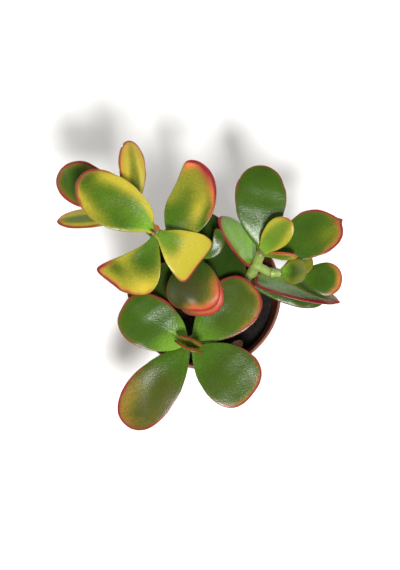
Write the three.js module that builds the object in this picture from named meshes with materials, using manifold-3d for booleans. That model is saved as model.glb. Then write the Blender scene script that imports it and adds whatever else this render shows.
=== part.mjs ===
// A potted jade plant (a variegated Crassula ovata): a thin-walled round nursery pot, its soil,
// rooted cuttings with their side shoots, and the thick spoon-shaped leaves, each leaf a piece
// of its own.
// Millimetres, +Z up, the origin at the centre of the pot's flat base.
import * as THREE from "three";
import Module from "manifold-3d";
import { mergeVertices } from "three/addons/utils/BufferGeometryUtils.js";

const wasm = await Module();
wasm.setup();

// ---- driving dimensions ----
const GAP = 0.3; // clearance between pieces that touch

const POT = {
  height: 76,
  baseRadius: 31, // outer radius at the base
  neckRadius: 42.6, // outer radius just under the rim band
  rimRadius: 45,
  bandHeight: 10,
  wall: 1.2,
  floor: 1.6,
  holes: 8,
  holeRadius: 3.5,
  holeCircle: 21, // radius of the circle that the drain holes stand on
  sides: 48,
};

const SOIL = { edgeBelowRim: 12, crown: 2.5, sides: 32 };
const SOIL_TOP = POT.height - SOIL.edgeBelowRim;
const BURIED = 10; // length of each cutting that is under the soil

const STEM = { sides: 10, steps: 12 };

// half-width of a leaf's stalk-like base, and mesh steps round and along a leaf
const LEAF = { neck: 2.4, around: 12, along: 12 };
// what a leaf has where its own line doesn't say
const LEAF_SHAPE = {
  down: 0, young: 0, thickness: 4.2, blunt: 0.5, skew: 0, belly: 0.62, lean: 0, sweep: 0, roll: 0,
  cup: 0.12, tint: "green",
};

const COLOURS = {
  pot: "#7a4434", soil: "#1d1712", stem: "#6f7f3e", green: "#4f7d2c", dark: "#33542a", gold: "#a9a53c",
  red: "#8f4a34", withered: "#a9765a",
};

// ---- shoots ----
// Each shoot has its stem's axis from low to high, the stem's radii at its foot and tip, and its
// leaves. A leaf leaves the stem "down" mm below the tip, or as one of the young leaves on the tip
// itself, "young" mm above it. It heads for "azimuth" (degrees from +X towards +Y), starting "rise"
// degrees above the horizon and turning by "curl" on its way to the tip. "sweep" bends it sideways,
// "roll" lifts the edge on its left, "cup" lifts both edges, "blunt" squares its tip when low and
// points it when high, and "skew" points it more on the left and squares it on the right. "belly"
// is where along the blade it is widest, and "lean" moves that outwards on the left and inwards on
// the right. "tint" names its colour.
const SHOOTS = [
  {
    name: "left",
    stem: [[-9, 14, SOIL_TOP - BURIED], [-12, 18, 78], [-19, 24.5, 102], [-27.5, 27.5, 124]],
    radii: [4, 2.4],
    leaves: [
      { azimuth: 147.5, rise: 20, curl: -24, length: 48, width: 28, belly: 0.56, skew: 0.14 },
      { azimuth: -35, rise: 6, curl: -46, length: 28, width: 28.5, blunt: 0.16, belly: 0.82, tint: "gold" },
      {
        down: 6, azimuth: 231, rise: -2, curl: -34, length: 36.5, width: 33, blunt: 0.42, skew: 0.3,
        belly: 0.75, lean: -0.17,
      },
      {
        down: 11, azimuth: 27, rise: 32, curl: -32, sweep: 96, roll: -10, length: 47, width: 26.5,
        blunt: 0.62, belly: 0.46, lean: -0.06,
      },
      { young: 1, azimuth: 240, rise: 78, curl: 0, length: 6, width: 4, thickness: 1.6, tint: "red" },
      { young: 1, azimuth: 60, rise: 78, curl: 0, length: 6, width: 4, thickness: 1.6, tint: "red" },
    ],
  },
  {
    name: "left_side",
    joins: "left",
    stem: [[-17, 22, 96], [-26, 27, 99], [-35, 35, 103], [-42, 42, 107]],
    radii: [2.6, 2.2],
    leaves: [
      { azimuth: 151, rise: 12, curl: -20, length: 41, width: 25 },
      { down: 2, azimuth: 88, rise: 34, curl: -22, sweep: 12, roll: 45, length: 38.5, width: 20 },
      {
        down: 4, azimuth: 184, rise: 8, curl: -8, roll: 42, length: 41, width: 18, blunt: 0.6,
        tint: "gold",
      },
    ],
  },
  {
    name: "middle",
    stem: [[0, 6, SOIL_TOP - BURIED], [-1, 8, 76], [-3, 14, 94], [-4.7, 17.4, 107]],
    radii: [3.8, 2.4],
    leaves: [
      { azimuth: 264.5, rise: 12, curl: -32, length: 29, width: 30, blunt: 0.36, tint: "dark" },
      { down: 7, azimuth: 273, rise: 8, curl: -28, length: 29, width: 26, blunt: 0.36, tint: "dark" },
      { down: 12, azimuth: 206, rise: 4, curl: -26, length: 43, width: 22, tint: "dark" },
      { down: 5, azimuth: 80, rise: 6, curl: -30, length: 25, width: 22, tint: "dark" },
      { down: 16, azimuth: 14, rise: 2, curl: -24, length: 23, width: 28, blunt: 0.4, tint: "dark" },
      {
        young: 2.4, azimuth: -15, rise: 14, curl: 0, sweep: 145, roll: 10, length: 22, width: 7,
        thickness: 2.2,
      },
      { young: 1.5, azimuth: 112, rise: 34, curl: 0, roll: 30, length: 15, width: 8, thickness: 2.2 },
    ],
  },
  {
    name: "front",
    stem: [[-8, -28, SOIL_TOP - BURIED], [-8, -29, 76], [-8.4, -31, 87], [-8.7, -32.5, 96]],
    radii: [4, 2.6],
    leaves: [
      { azimuth: 152, rise: 22, curl: -20, length: 41, width: 30, blunt: 0.38 },
      { azimuth: 322, rise: 10, curl: -18, length: 42, width: 34, blunt: 0.4, belly: 0.65 },
      { down: 5, azimuth: 42, rise: 15, curl: -10, length: 46, width: 31, blunt: 0.42, belly: 0.65 },
      { down: 5, azimuth: 231.5, rise: 6, curl: -22, length: 56, width: 28.5, blunt: 0.45, belly: 0.62 },
      { young: 1, azimuth: 247, rise: 84, curl: -4, length: 16, width: 17, thickness: 2.4, tint: "gold" },
      { young: 1, azimuth: 67, rise: 84, curl: 10, length: 16, width: 16, thickness: 2.4, tint: "gold" },
    ],
  },
  {
    name: "right",
    stem: [[12, 2, SOIL_TOP - BURIED], [19, 4.5, 72], [26.5, 9.5, 86], [31.5, 19, 105]],
    radii: [4.6, 2.8],
    leaves: [
      { azimuth: 91, rise: 20, curl: -16, length: 45.5, width: 28.5, belly: 0.6 },
      { down: 12, azimuth: 130, rise: 36, curl: -24, roll: 50, length: 32, width: 26, belly: 0.38 },
      { azimuth: 16, rise: 13, curl: -14, sweep: 12, length: 44.5, width: 26.5, blunt: 0.6, skew: 0.16 },
      { down: 24, azimuth: 342, rise: 13, curl: -4, roll: -52, length: 49.5, width: 29, belly: 0.3 },
      { down: 31, azimuth: 346, rise: 1, curl: -10, length: 44, width: 14 },
      { young: 3, azimuth: 44, rise: 57, curl: -34, length: 26, width: 15, thickness: 2.6, tint: "gold" },
      {
        azimuth: 341, rise: 54, curl: -22, sweep: 14, roll: 72, length: 22, width: 8,
        thickness: 2.4, tint: "gold",
      },
    ],
  },
  {
    name: "right_side",
    joins: "right",
    stem: [[28.5, 13.5, 96], [33, 11, 96.5], [37.5, 8.5, 97.5], [43.5, 8, 99]],
    radii: [2.6, 2.2],
    leaves: [
      { azimuth: 352, rise: 11, curl: -12, length: 23, width: 18.5 },
      { down: 6, azimuth: 336, rise: 4, curl: 0, roll: -50, length: 26, width: 10, thickness: 2.6 },
      { young: 2.4, azimuth: 356, rise: 50, curl: -12, length: 16.5, width: 14, thickness: 2.2, cup: 0.3 },
      { young: 0.4, azimuth: 24, rise: 22, curl: -20, length: 18, width: 12, thickness: 2 },
    ],
  },
];

// A small withered leaf that lies loose on the soil.
const FALLEN = {
  base: [10, -38.2],
  above: 3.2,
  leaf: { azimuth: 40, rise: -4, curl: 12, length: 16, width: 6, thickness: 1.6, cup: 0.2 },
};

// ---- helpers ----
const rad = THREE.MathUtils.degToRad;

/** A three.js geometry as a manifold-3d solid, with its shared vertices merged. */
function toSolid(geometry) {
  const bare = geometry.clone();
  bare.deleteAttribute("normal");
  bare.deleteAttribute("uv");
  const merged = mergeVertices(bare, 1e-4);
  return new wasm.Manifold(
    new wasm.Mesh({
      numProp: 3,
      vertProperties: new Float32Array(merged.attributes.position.array),
      triVerts: new Uint32Array(merged.index.array),
    }),
  );
}

/** A manifold-3d solid as a three.js geometry. */
function toGeometry(solid) {
  const mesh = solid.getMesh();
  return new THREE.BufferGeometry()
    .setAttribute("position", new THREE.BufferAttribute(Float32Array.from(mesh.vertProperties), 3))
    .setIndex(new THREE.BufferAttribute(Uint32Array.from(mesh.triVerts), 1));
}

/** Moves each vertex of a geometry to the point that place(x, y, z) gives. */
function bend(geometry, place) {
  const position = geometry.getAttribute("position");
  for (let i = 0; i < position.count; i++) {
    const p = place(position.getX(i), position.getY(i), position.getZ(i));
    position.setXYZ(i, p.x, p.y, p.z);
  }
  return geometry;
}

// ---- the leaf ----
/** Half the blade's width at t, from 0 at the base to 1 at the tip: a wedge that swells to a round end. */
function halfWidth(t, across, { width, blunt: round, skew, belly: middle, lean }, neck) {
  const belly = middle + lean * across;
  const blunt = round + skew * across;
  const wedge = (blunt * belly) / (1 - belly);
  const swell = (Math.pow(t, wedge) * Math.pow(1 - t, blunt)) /
    (Math.pow(belly, wedge) * Math.pow(1 - belly, blunt));
  const stalk = neck * Math.sqrt(1 - t) * Math.min(1, 6 * Math.sqrt(t * (1 - t)));
  return Math.hypot((width / 2) * swell, stalk);
}

/** The midrib's points and the blade's sideways and upward directions along it. */
function midrib(base, { azimuth, rise, curl, sweep, roll, length }, steps = 48) {
  const stations = [];
  const point = base.clone();
  for (let i = 0; i <= steps; i++) {
    const t = i / steps;
    const heading = rad(azimuth + sweep * t);
    const pitch = rad(rise + curl * t);
    const along = new THREE.Vector3(
      Math.cos(pitch) * Math.cos(heading), Math.cos(pitch) * Math.sin(heading), Math.sin(pitch));
    const left = new THREE.Vector3(-Math.sin(heading), Math.cos(heading), 0);
    left.applyAxisAngle(along, rad(roll));
    const up = along.clone().cross(left);
    stations.push({ point: point.clone(), left, up });
    point.addScaledVector(along, length / steps);
  }
  return stations;
}

/** A leaf: a sphere whose poles are the leaf's base and tip, flattened to a lens and bent along the midrib. */
function leafGeometry(base, shape) {
  const thickness = Math.min(shape.thickness, shape.width * 0.3);
  const neck = Math.min(LEAF.neck, shape.width * 0.25);
  const stations = midrib(base, shape);
  return bend(new THREE.SphereGeometry(1, LEAF.around, LEAF.along), (x, y, z) => {
    const t = (1 + y) / 2;
    const ring = Math.hypot(x, z);
    const across = ring > 1e-6 ? -x / ring : 0;
    const facing = ring > 1e-6 ? z / ring : 0;
    const half = halfWidth(t, across, shape, neck);
    const deep = (thickness / 2) * Math.sqrt(Math.max(0, ring)) * (1.1 - 0.35 * t);
    const at = t * (stations.length - 1);
    const low = stations[Math.floor(at)];
    const high = stations[Math.ceil(at)];
    const share = at - Math.floor(at);
    const left = low.left.clone().lerp(high.left, share);
    const up = low.up.clone().lerp(high.up, share);
    const lift = shape.cup * half * across * across;
    const lens = deep * Math.sign(facing) * Math.pow(Math.abs(facing), 1.3);
    return low.point.clone().lerp(high.point, share)
      .addScaledVector(left, half * across)
      .addScaledVector(up, lens + lift);
  });
}

// ---- stems ----
/** A smooth curve through a shoot's stem points. */
const stemCurve = (points) =>
  new THREE.CatmullRomCurve3(points.map((p) => new THREE.Vector3(...p)), false, "centripetal");

/** A closed, tapering stem with rounded ends; "extra" thickens it, for cutting room in a neighbour. */
function stemSolid({ stem, radii }, extra = 0) {
  const curve = stemCurve(stem);
  const frames = curve.computeFrenetFrames(STEM.steps, false);
  const tube = new THREE.CylinderGeometry(1, 1, 1, STEM.sides, STEM.steps);
  bend(tube, (x, y, z) => {
    const t = y + 0.5;
    const i = Math.round(t * STEM.steps);
    const radius = THREE.MathUtils.lerp(radii[0], radii[1], t) + extra;
    return curve.getPointAt(t)
      .addScaledVector(frames.normals[i], x * radius)
      .addScaledVector(frames.binormals[i], z * radius);
  });
  const solid = toSolid(tube);
  return solid.volume() > 0 ? solid : toSolid(flipped(tube));
}

/** The same geometry with its faces turned round. */
function flipped(geometry) {
  const turned = geometry.clone();
  const index = turned.index.array;
  for (let i = 0; i < index.length; i += 3) [index[i + 1], index[i + 2]] = [index[i + 2], index[i + 1]];
  return turned;
}

// ---- the pot and its soil ----
/** The pot: a tapered shell with a stepped rim band, closed at the base but for its drain holes. */
function potSolid() {
  const { height, baseRadius, neckRadius, rimRadius, bandHeight, wall, floor } = POT;
  const bandFoot = height - bandHeight;
  const profile = [
    [0, 0], [baseRadius - 1, 0], [baseRadius, 1], [neckRadius, bandFoot],
    [rimRadius - 0.6, bandFoot], [rimRadius, bandFoot + 0.8], [rimRadius, height - 0.9],
    [rimRadius - 0.6, height], [rimRadius - 1.5, height], [rimRadius - 1.9, height - 0.8],
    [rimRadius - 2.1, bandFoot + 2], [neckRadius - wall, bandFoot - 1.5],
    [baseRadius - wall, floor], [0, floor],
  ].map(([r, z]) => new THREE.Vector2(r, z));
  const shell = new THREE.LatheGeometry(profile, POT.sides).rotateX(Math.PI / 2);
  let solid = toSolid(shell);
  if (solid.volume() < 0) solid = toSolid(flipped(shell));
  for (let i = 0; i < POT.holes; i++) {
    const angle = (2 * Math.PI * i) / POT.holes;
    const drill = new THREE.CylinderGeometry(POT.holeRadius, POT.holeRadius, 4 * floor, 16)
      .rotateX(Math.PI / 2)
      .translate(POT.holeCircle * Math.cos(angle), POT.holeCircle * Math.sin(angle), floor / 2);
    solid = solid.subtract(toSolid(drill));
  }
  return solid;
}

/** Inner radius of the pot's wall at a height, below the rim band. */
function innerRadius(z) {
  const slope = (POT.neckRadius - POT.baseRadius) / (POT.height - POT.bandHeight - 1);
  return POT.baseRadius + slope * (z - 1) - POT.wall * 1.25;
}

/** The soil: it fills the pot with a low crown, and leaves room for the buried stems. */
function soilSolid(stems) {
  const foot = POT.floor + GAP;
  const profile = [
    [0, foot], [innerRadius(foot) - 2 * GAP, foot], [innerRadius(SOIL_TOP - 1) - GAP, SOIL_TOP - 1],
    [innerRadius(SOIL_TOP) - 2, SOIL_TOP], [24, SOIL_TOP + 0.7 * SOIL.crown], [10, SOIL_TOP + SOIL.crown],
    [0, SOIL_TOP + SOIL.crown],
  ].map(([r, z]) => new THREE.Vector2(r, z));
  const fill = new THREE.LatheGeometry(profile, SOIL.sides).rotateX(Math.PI / 2);
  let solid = toSolid(fill);
  if (solid.volume() < 0) solid = toSolid(flipped(fill));
  for (const stem of stems) solid = solid.subtract(stem);
  return solid;
}

// ---- assembly ----
const group = new THREE.Group();

/** Adds one named piece with its colour. */
function add(name, geometry, color, roughness = 0.5) {
  const mesh = new THREE.Mesh(geometry, new THREE.MeshStandardMaterial({ color, roughness, metalness: 0 }));
  mesh.name = name;
  group.add(mesh);
}

add("pot", toGeometry(potSolid()), COLOURS.pot, 0.45);

const rooted = SHOOTS.filter((shoot) => !shoot.joins);
add("soil", toGeometry(soilSolid(rooted.map((shoot) => stemSolid(shoot, GAP)))), COLOURS.soil, 0.95);

for (const shoot of rooted) {
  const sides = SHOOTS.filter((other) => other.joins === shoot.name).map((other) => stemSolid(other));
  const stem = sides.reduce((whole, side) => whole.add(side), stemSolid(shoot));
  add(`${shoot.name}_stem`, toGeometry(stem), COLOURS.stem);
}

for (const shoot of SHOOTS) {
  const curve = stemCurve(shoot.stem);
  const stemLength = curve.getLength();
  shoot.leaves.forEach((leaf, i) => {
    const shape = { ...LEAF_SHAPE, ...leaf };
    const at = 1 - shape.down / stemLength;
    const heading = new THREE.Vector3(Math.cos(rad(shape.azimuth)), Math.sin(rad(shape.azimuth)), 0);
    const slant = curve.getTangentAt(at).cross(heading).length();
    const bark = THREE.MathUtils.lerp(...shoot.radii, at) + GAP + 0.4;
    const base = curve.getPointAt(at);
    base.addScaledVector(heading, shape.young ? shape.thickness / 2 + GAP : bark / slant);
    base.z += shape.young;
    add(`${shoot.name}_leaf_${i + 1}`, leafGeometry(base, shape), COLOURS[shape.tint], 0.4);
  });
}

const fallenBase = new THREE.Vector3(FALLEN.base[0], FALLEN.base[1], SOIL_TOP + FALLEN.above);
add("fallen_leaf", leafGeometry(fallenBase, { ...LEAF_SHAPE, ...FALLEN.leaf }), COLOURS.withered, 0.7);

export default group;
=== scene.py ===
"""A potted jade plant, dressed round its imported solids.

Each part of the plant is a class with its sizes in millimetres: the thin nursery pot, its potting mix, the
shoots with their fleshy stems, and the thick waxy leaves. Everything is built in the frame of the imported
model, in metres, with the pot's flat base on the floor at the origin.
"""

from __future__ import annotations

import logging
import math
from collections.abc import Callable, Iterable, Mapping, Sequence
from dataclasses import dataclass, field
from enum import Enum
from functools import partial

import bmesh
import bpy
import numpy as np
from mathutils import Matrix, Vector, noise

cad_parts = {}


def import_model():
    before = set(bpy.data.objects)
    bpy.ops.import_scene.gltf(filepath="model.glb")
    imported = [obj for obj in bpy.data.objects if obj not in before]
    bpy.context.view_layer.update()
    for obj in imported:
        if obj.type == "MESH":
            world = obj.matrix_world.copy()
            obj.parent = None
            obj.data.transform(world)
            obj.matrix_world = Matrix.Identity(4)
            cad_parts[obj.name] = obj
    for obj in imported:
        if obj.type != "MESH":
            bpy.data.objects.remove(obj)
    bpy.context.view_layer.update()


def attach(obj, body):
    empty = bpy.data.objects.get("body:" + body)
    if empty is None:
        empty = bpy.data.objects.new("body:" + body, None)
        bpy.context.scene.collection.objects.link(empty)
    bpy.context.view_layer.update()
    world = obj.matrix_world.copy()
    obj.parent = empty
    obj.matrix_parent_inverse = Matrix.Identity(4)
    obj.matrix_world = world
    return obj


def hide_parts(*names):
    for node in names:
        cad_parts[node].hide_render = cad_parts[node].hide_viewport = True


LOG = logging.getLogger("jade_plant")
MM = 0.001
WELD = 1e-6
CLASP = 3.2  # how far a grown leaf's base runs on into its stem, mm
YOUNG_CLASP = 2.0
SHED_CLASP = 0.6

Point = tuple[float, float, float]
Socket = bpy.types.NodeSocket
NodeAdder = Callable[..., bpy.types.Node]


class Slot(Enum):
    """The material slots that the record names."""

    POT = "pot_plastic"
    SOIL = "potting_soil"
    STEM = "stem_bark"
    GREEN = "leaf_green"
    DARK = "leaf_dark"
    GOLD = "leaf_gold"
    RED = "leaf_red"
    WITHERED = "leaf_withered"


# ---- small helpers ----
def linear(code: str) -> tuple[float, float, float, float]:
    """Turns an sRGB hex colour to linear light.

    Args:
        code: The colour as "#rrggbb".

    Returns:
        The linear red, green and blue, and an alpha of 1.
    """
    parts = [int(code[i : i + 2], 16) / 255 for i in (1, 3, 5)]
    red, green, blue = (c / 12.92 if c <= 0.04045 else ((c + 0.055) / 1.055) ** 2.4 for c in parts)
    return red, green, blue, 1.0


def add_node(
    tree: bpy.types.NodeTree,
    kind: str,
    inputs: Mapping[str | int, object] | None = None,
    links: Mapping[str | int, Socket] | None = None,
    **settings: object,
) -> bpy.types.Node:
    """Adds a node with its settings, its socket values and its incoming links.

    Args:
        tree: The node tree that gets the node.
        kind: The node's type name.
        inputs: Values for input sockets, by name or number.
        links: Output sockets that feed input sockets, by name or number.
        **settings: Properties of the node itself.

    Returns:
        The new node.
    """
    made = tree.nodes.new(kind)
    for name, value in settings.items():
        setattr(made, name, value)
    for key, value in (inputs or {}).items():
        made.inputs[key].default_value = value
    for key, socket in (links or {}).items():
        tree.links.new(socket, made.inputs[key])
    return made


def new_material(name: str) -> tuple[bpy.types.Material, NodeAdder]:
    """Starts an empty node material.

    Args:
        name: The material's name.

    Returns:
        The material, and add_node bound to its tree.
    """
    material = bpy.data.materials.new(name)
    material.use_nodes = True
    material.node_tree.nodes.clear()
    return material, partial(add_node, material.node_tree)


def deselect_all() -> None:
    """Leaves edit mode and clears the selection, so that an operator acts only on what is picked next."""
    if bpy.context.mode != "OBJECT":
        bpy.ops.object.mode_set(mode="OBJECT")
    bpy.ops.object.select_all(action="DESELECT")


def activate(piece: bpy.types.Object) -> None:
    """Makes one object the only selected and the active one."""
    deselect_all()
    piece.select_set(True)
    bpy.context.view_layer.objects.active = piece


def apply_modifier(piece: bpy.types.Object, kind: str, **settings: object) -> None:
    """Adds a modifier to a piece and applies it at once.

    Args:
        piece: The object to change.
        kind: The modifier's type name.
        **settings: The modifier's properties.
    """
    activate(piece)
    modifier = piece.modifiers.new(kind.title(), kind)
    for name, value in settings.items():
        setattr(modifier, name, value)
    bpy.ops.object.modifier_apply(modifier=modifier.name)


def new_object(name: str, data: bpy.types.ID) -> bpy.types.Object:
    """Puts new data into the scene as an object."""
    made = bpy.data.objects.new(name, data)
    bpy.context.scene.collection.objects.link(made)
    return made


def face_outwards(piece: bpy.types.Object, weld: bool = False) -> None:
    """Turns all of a closed piece's faces to point outwards, after welding double vertices if asked."""
    activate(piece)
    bpy.ops.object.mode_set(mode="EDIT")
    bpy.ops.mesh.select_all(action="SELECT")
    if weld:
        bpy.ops.mesh.remove_doubles(threshold=WELD)
    bpy.ops.mesh.normals_make_consistent(inside=False)
    bpy.ops.object.mode_set(mode="OBJECT")


def coordinates(mesh: bpy.types.Mesh) -> np.ndarray:
    """A mesh's vertex positions as an array of rows."""
    flat = np.empty(len(mesh.vertices) * 3)
    mesh.vertices.foreach_get("co", flat)
    return flat.reshape(-1, 3)


def move_vertices(mesh: bpy.types.Mesh, points: np.ndarray) -> None:
    """Puts a mesh's vertices at new positions."""
    mesh.vertices.foreach_set("co", np.ascontiguousarray(points, dtype=np.float64).ravel())
    mesh.update()


def add_values(mesh: bpy.types.Mesh, name: str, values: np.ndarray) -> None:
    """Stores one number per vertex under a name that a material can read."""
    mesh.attributes.new(name, "FLOAT", "POINT").data.foreach_set("value", values.astype(np.float32))


def smoothstep(low: float, high: float, values: np.ndarray) -> np.ndarray:
    """A smooth rise from 0 at the low value to 1 at the high one."""
    share = np.clip((values - low) / (high - low), 0.0, 1.0)
    return share * share * (3 - 2 * share)


def wobble(points: np.ndarray, size: float, seed: int) -> np.ndarray:
    """A gentle random field, made of a few crossing waves.

    Args:
        points: Positions, one row each.
        size: The distance from one swell to the next, in the points' own unit.
        seed: Picks the field.

    Returns:
        Values of about -1 to 1, one per position.
    """
    rng = np.random.RandomState(seed)
    total = np.zeros(len(points))
    for _ in range(7):
        direction = rng.normal(size=points.shape[1])
        direction *= 2 * math.pi / (size * rng.uniform(0.7, 1.6) * np.linalg.norm(direction))
        total += np.sin(points @ direction + rng.uniform(0, 2 * math.pi))
    return total / 3.2


def settle(piece: bpy.types.Object, nodes: Iterable[str] = ()) -> None:
    """Fixes a finished piece to the frame and reports it.

    Args:
        piece: The finished object.
        nodes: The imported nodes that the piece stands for.
    """
    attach(piece, "root")
    if nodes:
        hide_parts(*nodes)
    LOG.info("%s: %d faces", piece.name, len(piece.data.polygons))


# ---- finishes ----
@dataclass(frozen=True)
class JadeSkin:
    """The cuticle of a living jade leaf: a tight waxy skin over clear green flesh."""

    name: str
    flesh: str = "#365310"
    shade: str = "#2c440b"
    pale: str = "#6f9a2e"
    gold: str = "#b4a234"
    olive: str = "#6c751c"
    amber: str = "#94742a"
    blush: str = "#cf6c40"
    rim: str = "#7a2226"
    bronze: str = "#463c14"
    freckle: str = "#33301a"
    cloud_mm: float = 18.2
    mottle_mm: float = 1.11
    freckle_mm: float = 3.03
    pore_mm: float = 0.8
    roughness: float = 0.21
    gloss: float = 0.26

    def material(self) -> bpy.types.Material:
        """Builds the skin: flesh, gold sectors, sun blush, red margin, fine pores and a wax gloss."""
        material, node = new_material(self.name)
        place = {"Vector": node("ShaderNodeTexCoord").outputs["Object"]}
        masks = {
            name: node("ShaderNodeAttribute", attribute_name=name).outputs["Fac"]
            for name in ("gold", "blush", "rim", "pale", "bronze")
        }
        # broad clouds in the flesh
        broad = {"Scale": 1000 / self.cloud_mm, "Detail": 4.0}
        clouds = node("ShaderNodeTexNoise", broad, place).outputs["Fac"]
        cloud = node("ShaderNodeMapRange", {"From Min": 0.3, "From Max": 0.7}, {"Value": clouds})
        # fine mottle that frays every colour's border
        grain = {"Scale": 1000 / self.mottle_mm, "Detail": 3.0, "Roughness": 0.6}
        mottle = node("ShaderNodeTexNoise", grain, place).outputs["Fac"]
        frayed = {name: self.frayed(node, mask, mottle) for name, mask in masks.items()}
        flesh = {6: linear(self.shade), 7: linear(self.flesh)}
        skin = node("ShaderNodeMix", flesh, {0: cloud.outputs["Result"]}, data_type="RGBA").outputs[2]
        for name, colour in (("pale", self.pale), ("bronze", self.bronze)):
            over = {7: linear(colour)}
            skin = node("ShaderNodeMix", over, {0: frayed[name], 6: skin}, data_type="RGBA").outputs[2]
        # yellow and blush are duller where their masks are weak
        for name, dull, full in (("gold", self.olive, self.gold), ("blush", self.amber, self.blush)):
            pair = {6: linear(dull), 7: linear(full)}
            tint = node("ShaderNodeMix", pair, {0: masks[name]}, data_type="RGBA").outputs[2]
            over = {0: frayed[name], 6: skin, 7: tint}
            skin = node("ShaderNodeMix", links=over, data_type="RGBA").outputs[2]
        for share, colour in ((frayed["rim"], self.rim), (self.freckles(node, place), self.freckle)):
            over = {7: linear(colour)}
            skin = node("ShaderNodeMix", over, {0: share, 6: skin}, data_type="RGBA").outputs[2]
        # water pores pit the wax; real ones are half this size, drawn coarser so that the gloss breaks up
        pores = node("ShaderNodeTexNoise", {"Scale": 1000 / self.pore_mm}, place).outputs["Fac"]
        pits = node("ShaderNodeBump", {"Strength": 0.6, "Distance": 0.00022}, {"Height": pores})
        swells = {"Height": clouds, "Normal": pits.outputs["Normal"]}
        normal = node("ShaderNodeBump", {"Strength": 0.3, "Distance": 0.0008}, swells).outputs["Normal"]
        span = {"To Min": self.roughness - 0.05, "To Max": self.roughness + 0.1}
        span |= {"From Min": 0.3, "From Max": 0.7}
        polish = node("ShaderNodeMapRange", span, {"Value": mottle}).outputs["Result"]
        # sun-browned skin has lost its polish
        dulled = node("ShaderNodeMath", {1: 0.1}, {0: masks["bronze"], 2: polish}, operation="MULTIPLY_ADD")
        sockets = {
            "IOR": 1.4, "Specular IOR Level": self.gloss, "Coat Weight": 0.04, "Coat Roughness": 0.2,
            "Subsurface Weight": 0.12, "Subsurface Radius": (1.0, 1.2, 0.3), "Subsurface Scale": 0.001,
        }
        links = {"Base Color": skin, "Normal": normal, "Roughness": dulled.outputs[0]}
        shader = node("ShaderNodeBsdfPrincipled", sockets, links)
        node("ShaderNodeOutputMaterial", links={"Surface": shader.outputs["BSDF"]})
        return material

    def freckles(self, node: NodeAdder, place: dict[str, Socket]) -> Socket:
        """Sparse dark freckles, in about one cell in six, where the skin was nicked or wetted.

        Args:
            node: Adds a node to the skin's tree.
            place: The link that gives a pattern its coordinates.

        Returns:
            How much of the freckle's colour shows, from 0 to 0.5.
        """
        cells = node("ShaderNodeTexVoronoi", {"Scale": 1000 / self.freckle_mm}, place)
        spot = {"From Min": 0.13, "From Max": 0.07, "To Max": 0.5}
        fleck = node("ShaderNodeMapRange", spot, {"Value": cells.outputs["Distance"]}).outputs["Result"]
        chance = node("ShaderNodeSeparateColor", links={0: cells.outputs["Color"]}).outputs["Red"]
        chosen = node("ShaderNodeMath", {1: 0.82}, {0: chance}, operation="GREATER_THAN").outputs[0]
        return node("ShaderNodeMath", links={0: fleck, 1: chosen}, operation="MULTIPLY").outputs[0]

    @staticmethod
    def frayed(node: NodeAdder, mask: Socket, mottle: Socket) -> Socket:
        """Breaks up a mask's soft border with the fine mottle.

        Args:
            node: Adds a node to the skin's tree.
            mask: The smooth mask, from 0 to 1.
            mottle: The fine noise, around 0.5.

        Returns:
            The mask with a grainy border, still 0 and 1 where it was.
        """
        # grain is strongest half way up the mask: 2.6 m (1 - m) (noise - 0.5)
        rest = node("ShaderNodeMath", {0: 1.0}, {1: mask}, operation="SUBTRACT").outputs[0]
        hump = node("ShaderNodeMath", links={0: mask, 1: rest}, operation="MULTIPLY").outputs[0]
        swing = node("ShaderNodeMath", {1: 0.5}, {0: mottle}, operation="SUBTRACT").outputs[0]
        grain = node("ShaderNodeMath", links={0: hump, 1: swing}, operation="MULTIPLY").outputs[0]
        links = {0: grain, 2: mask}
        return node("ShaderNodeMath", {1: 2.6}, links, operation="MULTIPLY_ADD", use_clamp=True).outputs[0]


@dataclass(frozen=True)
class DryLeafSkin:
    """The papery skin of a shed leaf: shrunken, matt and brownish pink, with darker wrinkles."""

    name: str = "shed leaf, dried papery skin"
    paper: str = "#c79a86"
    stain: str = "#8f5f4e"
    wrinkle_mm: float = 1.43

    def material(self) -> bpy.types.Material:
        """Builds the dry skin, darker in the hollows of its wrinkles."""
        material, node = new_material(self.name)
        place = {"Vector": node("ShaderNodeTexCoord").outputs["Object"]}
        creases = {"Scale": 1000 / self.wrinkle_mm, "Detail": 4.0, "Distortion": 0.8}
        wrinkle = node("ShaderNodeTexNoise", creases, place).outputs["Fac"]
        # the low parts of the wrinkle pattern, which are also the bump's hollows, take the darker colour
        share = node("ShaderNodeMapRange", {"From Min": 0.42, "From Max": 0.66}, {"Value": wrinkle})
        pair = {6: linear(self.stain), 7: linear(self.paper)}
        colour = node("ShaderNodeMix", pair, {0: share.outputs["Result"]}, data_type="RGBA").outputs[2]
        bump = node("ShaderNodeBump", {"Strength": 0.6, "Distance": 0.0004}, {"Height": wrinkle})
        links = {"Base Color": colour, "Normal": bump.outputs["Normal"]}
        shader = node("ShaderNodeBsdfPrincipled", {"Roughness": 0.75}, links)
        node("ShaderNodeOutputMaterial", links={"Surface": shader.outputs["BSDF"]})
        return material


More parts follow.
